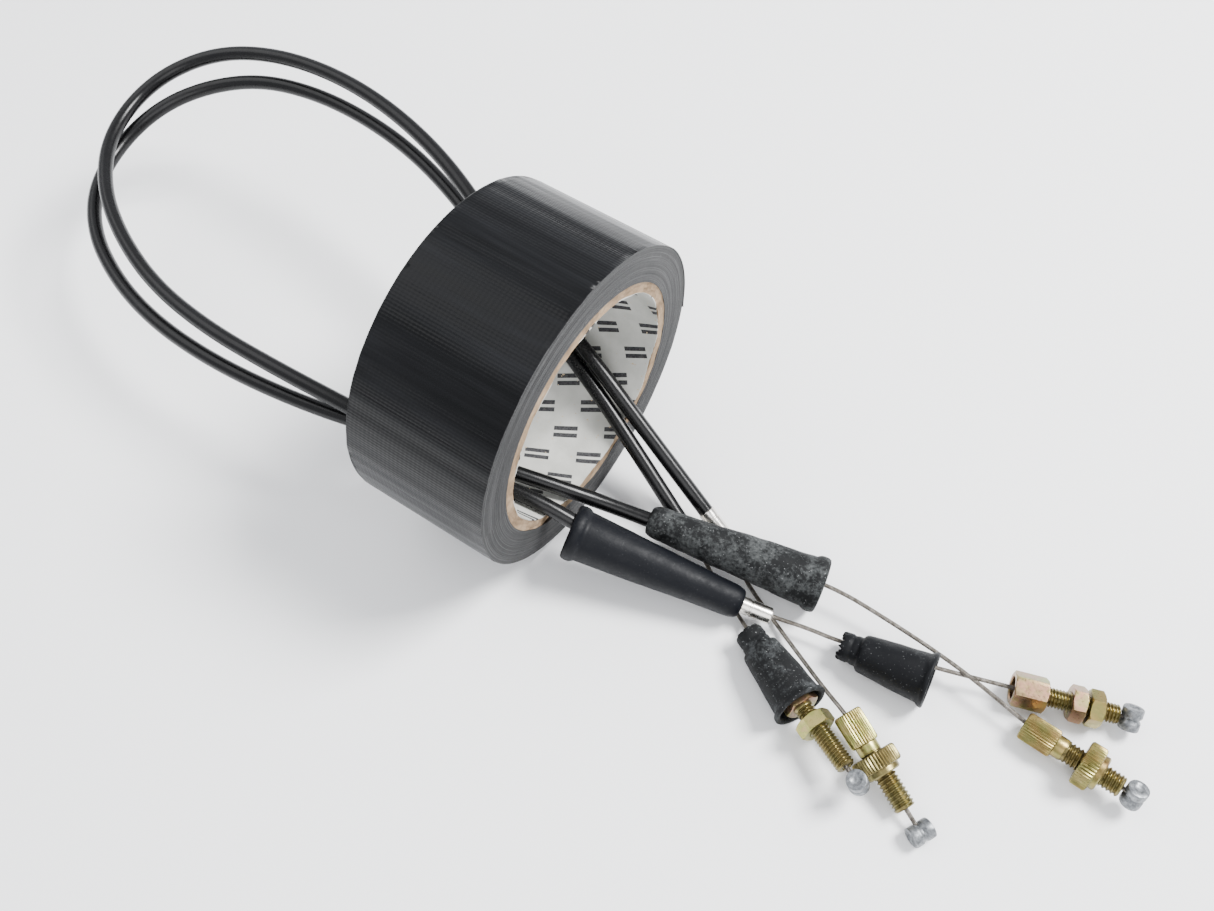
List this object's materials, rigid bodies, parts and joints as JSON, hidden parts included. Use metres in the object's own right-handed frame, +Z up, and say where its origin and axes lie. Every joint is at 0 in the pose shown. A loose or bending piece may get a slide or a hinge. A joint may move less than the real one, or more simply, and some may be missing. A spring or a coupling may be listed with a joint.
{
  "type": "throttle cable pair on a tape roll",
  "caption": "Two sheathed pull cables with screw adjusters, rubber boots and barrel nipples, threaded in a loop through the core of a roll of cloth tape.",
  "frame": {"origin": "on the floor under the middle of the tape roll", "axes": "+X along the roll axis towards the cable ends, +Z up"},
  "size_m": [0.4064, 0.1167, 0.1064],
  "materials": {
    "cloth_tape": "satin black coated cloth, banded by its turns",
    "cardboard": "matt tan board",
    "printed_paper": "off-white paper with a plain printed dash pattern",
    "black_pvc": "satin black sheath",
    "spring_steel": "flat-wound spring steel",
    "liner_plastic": "white low-friction plastic",
    "wire_rope": "dull grey twisted strands",
    "bright_nickel": "bright nickel plate",
    "zinc_alloy": "dull cast zinc",
    "yellow_zinc": "yellow chromate on zinc, pink and green tints",
    "dusty_rubber": "black rubber with grey bloom",
    "black_rubber": "satin blue-black rubber"
  },
  "bodies": {
    "roll_and_housings": {"tape_winding": "cloth_tape", "tape_tail": "cloth_tape", "cardboard_core": "cardboard", "core_liner": "printed_paper", "a_housing_jacket": "black_pvc", "a_spring_conduit": "spring_steel", "a_low_friction_liner": "liner_plastic", "a_inner_wire": "wire_rope", "a_ferrule_near": "bright_nickel", "a_ferrule_far": "bright_nickel", "b_housing_jacket": "black_pvc", "b_spring_conduit": "spring_steel", "b_low_friction_liner": "liner_plastic", "b_inner_wire": "wire_rope", "b_ferrule_near": "bright_nickel", "b_ferrule_far": "bright_nickel"},
    "a_long_boot": {"a_long_boot": "dusty_rubber"},
    "b_long_boot": {"b_long_boot": "black_rubber"},
    "a_small_boot": {"a_small_boot": "dusty_rubber"},
    "b_small_boot": {"b_small_boot": "black_rubber"},
    "a_hex_end": {"a_hex_wire_end": "wire_rope", "a_hex_nipple": "zinc_alloy"},
    "a_hex_adjuster": {"a_hex_adjuster": "yellow_zinc"},
    "a_knurl_end": {"a_knurl_wire_end": "wire_rope", "a_knurl_nipple": "zinc_alloy"},
    "a_knurl_adjuster": {"a_knurl_adjuster": "yellow_zinc"},
    "b_hex_end": {"b_hex_wire_end": "wire_rope", "b_hex_nipple": "zinc_alloy"},
    "b_hex_adjuster": {"b_hex_adjuster": "yellow_zinc"},
    "b_knurl_end": {"b_knurl_wire_end": "wire_rope", "b_knurl_nipple": "zinc_alloy"},
    "b_knurl_adjuster": {"b_knurl_adjuster": "yellow_zinc"},
    "a_hex_lock_nut": {"a_hex_lock_nut": "yellow_zinc"},
    "a_knurl_lock_nut": {"a_knurl_lock_nut": "yellow_zinc"},
    "b_knurl_lock_nut": {"b_knurl_lock_nut": "yellow_zinc"},
    "b_hex_lock_nut_1": {"b_hex_lock_nut_1": "yellow_zinc"},
    "b_hex_lock_nut_2": {"b_hex_lock_nut_2": "yellow_zinc"}
  },
  "joints": [
    {"name": "a_wire_pull", "type": "slide", "parent": "roll_and_housings", "child": "a_knurl_end", "axis": [0.9916, -0.0951, 0.0881], "range_m": [0, 0.0006]},
    {"name": "a_wire_follow", "type": "slide", "parent": "roll_and_housings", "child": "a_hex_end", "axis": [0.8844, -0.4497, 0.1249], "range_m": [-0.0006, 0]},
    {"name": "b_wire_pull", "type": "slide", "parent": "roll_and_housings", "child": "b_hex_end", "axis": [0.9508, 0.3099, 0], "range_m": [-0.002, 0.0008]},
    {"name": "b_wire_follow", "type": "slide", "parent": "roll_and_housings", "child": "b_knurl_end", "axis": [0.883, -0.4375, -0.1702], "range_m": [-0.0008, 0.002]},
    {"name": "a_knurl_adjuster_turn", "type": "hinge", "parent": "a_knurl_end", "child": "a_knurl_adjuster", "pos_m": [0.2065, 0.0019, 0.0081], "axis": [0.9916, -0.0951, 0.0881], "range_deg": [-1440, 1260]},
    {"name": "a_knurl_lock_nut_travel", "type": "slide", "parent": "a_knurl_adjuster", "child": "a_knurl_lock_nut", "axis": [0.9916, -0.0951, 0.0881], "range_m": [-0.0044, 0.00505]},
    {"name": "b_knurl_adjuster_turn", "type": "hinge", "parent": "b_knurl_end", "child": "b_knurl_adjuster", "pos_m": [0.1578, -0.0368, 0.0047], "axis": [0.883, -0.4375, -0.1702], "range_deg": [-2880, 0]},
    {"name": "b_knurl_lock_nut_travel", "type": "slide", "parent": "b_knurl_adjuster", "child": "b_knurl_lock_nut", "axis": [0.883, -0.4375, -0.1702], "range_m": [0, 0.01005]},
    {"name": "a_hex_adjuster_slide", "type": "slide", "parent": "a_hex_end", "child": "a_hex_adjuster", "axis": [0.8844, -0.4497, 0.1249], "range_m": [-0.0025, 0.002]},
    {"name": "a_hex_lock_nut_travel", "type": "slide", "parent": "a_hex_adjuster", "child": "a_hex_lock_nut", "axis": [0.8844, -0.4497, 0.1249], "range_m": [-0.0035, 0.0125]},
    {"name": "b_hex_adjuster_slide", "type": "slide", "parent": "b_hex_end", "child": "b_hex_adjuster", "axis": [0.9508, 0.3099, 0], "range_m": [-0.0012, 0.0004]},
    {"name": "b_hex_inner_nut_travel", "type": "slide", "parent": "b_hex_adjuster", "child": "b_hex_lock_nut_1", "axis": [0.9508, 0.3099, 0], "range_m": [-0.0065, 0.0008]},
    {"name": "b_hex_outer_nut_travel", "type": "slide", "parent": "b_hex_adjuster", "child": "b_hex_lock_nut_2", "axis": [0.9508, 0.3099, 0], "range_m": [-0.0008, 0.0048]},
    {"name": "a_long_boot_slide", "type": "slide", "parent": "roll_and_housings", "child": "a_long_boot", "axis": [0.9738, 0.214, -0.077], "range_m": [-0.0005, 0.004]},
    {"name": "b_long_boot_slide", "type": "slide", "parent": "roll_and_housings", "child": "b_long_boot", "axis": [-0.9558, -0.2247, 0.1898], "range_m": [0, 0.0015]},
    {"name": "a_small_boot_slide", "type": "slide", "parent": "roll_and_housings", "child": "a_small_boot", "axis": [0.883, -0.455, 0.115], "range_m": [-0.0015, 0.0015]},
    {"name": "b_small_boot_slide", "type": "slide", "parent": "roll_and_housings", "child": "b_small_boot", "axis": [0.9596, 0.2814, 0], "range_m": [-0.005, 0.0008]}
  ],
  "couplings": [
    {"joint": "a_wire_follow", "follows": "a_wire_pull", "ratio": -1},
    {"joint": "b_wire_follow", "follows": "b_wire_pull", "ratio": -1}
  ]
}
